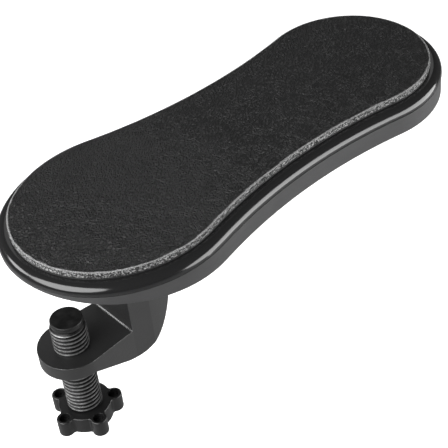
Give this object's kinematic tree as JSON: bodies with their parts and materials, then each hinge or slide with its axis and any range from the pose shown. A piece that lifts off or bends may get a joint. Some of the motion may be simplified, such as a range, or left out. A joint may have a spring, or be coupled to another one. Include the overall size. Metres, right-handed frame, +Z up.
{
  "type": "clamp-on wrist rest",
  "caption": "Padded wrist rest with two round lobes and a waist, swivelling on a cast clamp bracket that a hand screw with a star knob closes on the edge of a desk.",
  "frame": {"origin": "on the top face of the pad, where the plate's swivel axis comes out; the desk top lies 22 mm below, at the lower face of the upper jaw's pad", "axes": "+X along the plate away from the desk, +Z up out of the pad, +Y to the left seen from the desk; the desk enters the clamp from the -X side"},
  "size_m": [0.265, 0.1128, 0.1184],
  "materials": {
    "leather": "pebble-grained, semi-matt",
    "foam": "speckled grey cut edge",
    "adhesive": "thin film",
    "gloss_black": "polished moulding",
    "satin_black": "fine satin moulding",
    "bracket_paint": "satin black coat on a casting",
    "screw_black": "black oxide, semi-gloss",
    "zinc_steel": "zinc plated",
    "spring_steel": "hardened and blackened",
    "brass": "turned",
    "bush_plastic": "natural acetal",
    "friction_plastic": "friction sheet",
    "rubber": "smooth",
    "knob_plastic": "satin moulding"
  },
  "bodies": {
    "bracket": {"clamp_bracket": "bracket_paint", "pivot_insert": "brass", "shoulder_bolt": "zinc_steel", "friction_washer": "friction_plastic", "flat_washer": "zinc_steel", "disc_spring": "spring_steel", "jaw_pad": "rubber"},
    "plate": {"leather_cover": "leather", "foam_core": "foam", "adhesive_sheet": "adhesive", "top_shell": "gloss_black", "bottom_shell": "satin_black", "shell_screws": "zinc_steel", "pivot_plate": "zinc_steel", "pivot_plate_screws": "zinc_steel", "pivot_bush": "bush_plastic"},
    "cap": {"pressure_cap": "knob_plastic", "snap_ring": "spring_steel", "cap_pad": "rubber"},
    "screw": {"clamp_screw": "screw_black", "star_knob": "knob_plastic", "knob_screw": "zinc_steel"}
  },
  "joints": [
    {"name": "plate_swivel", "type": "hinge", "parent": "bracket", "child": "plate", "pos_m": [0, 0, 0], "axis": [0, 0, 1], "range_deg": [-90, 90]},
    {"name": "jaw_travel", "type": "slide", "parent": "bracket", "child": "cap", "axis": [0, 0, 1], "range_m": [-0.014, 0.024]},
    {"name": "screw_turn", "type": "hinge", "parent": "cap", "child": "screw", "pos_m": [-0.0435, 0, -0.053], "axis": [0, 0, 1], "range_deg": [-2020, 3460]}
  ],
  "couplings": [
    {"joint": "screw_turn", "follows": "jaw_travel", "rad_per_m": 2513.3}
  ]
}
